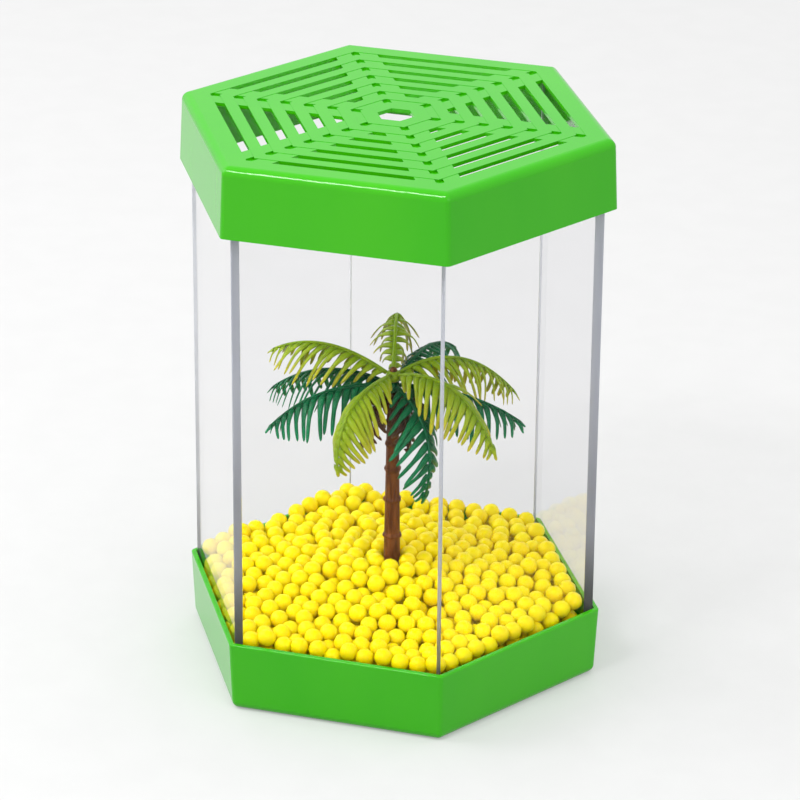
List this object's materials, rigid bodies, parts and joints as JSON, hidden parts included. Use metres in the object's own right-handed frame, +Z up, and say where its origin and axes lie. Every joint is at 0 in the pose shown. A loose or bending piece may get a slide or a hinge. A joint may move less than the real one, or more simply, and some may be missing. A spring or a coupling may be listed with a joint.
{
  "type": "betta tank",
  "caption": "Small hexagonal fish tank with clear walls in a moulded base tray, a lift-off vented lid, a bed of balls and an artificial palm.",
  "frame": {"origin": "on the floor under the middle of the base tray", "axes": "+Z up, flat sides of the hexagon face -Y and +Y, corners lie on the X axis"},
  "size_m": [0.143, 0.1244, 0.1845],
  "materials": {
    "green_plastic": "smooth glossy moulded plastic",
    "clear_panel": "clear polished acrylic sheet",
    "clear_sealant": "clear cured adhesive",
    "yellow_beads": "glossy plastic balls",
    "brown_trunk": "satin moulded plastic",
    "dark_fronds": "satin moulded plastic",
    "light_fronds": "satin moulded plastic"
  },
  "bodies": {
    "tank": {"base_tray": "green_plastic", "base_seal": "clear_sealant", "panel_back_right": "clear_panel", "panel_back": "clear_panel", "panel_back_left": "clear_panel", "panel_front_left": "clear_panel", "panel_front": "clear_panel", "panel_front_right": "clear_panel", "corner_seal_right": "clear_sealant", "corner_seal_right_back": "clear_sealant", "corner_seal_left_back": "clear_sealant", "corner_seal_left": "clear_sealant", "corner_seal_left_front": "clear_sealant", "corner_seal_right_front": "clear_sealant", "bead_bed": "yellow_beads", "top_beads": "yellow_beads"},
    "lid": {"lid": "green_plastic"},
    "palm": {"palm_trunk": "brown_trunk", "palm_dry_whorl": "brown_trunk", "palm_lower_whorl": "dark_fronds", "palm_upper_whorl": "light_fronds"}
  },
  "joints": [
    {"name": "lid_lift", "type": "slide", "parent": "tank", "child": "lid", "axis": [0, 0, 1], "range_m": [0, 0.08]},
    {"name": "palm_lift", "type": "slide", "parent": "tank", "child": "palm", "axis": [0, 0, 1], "range_m": [0, 0.045]}
  ]
}
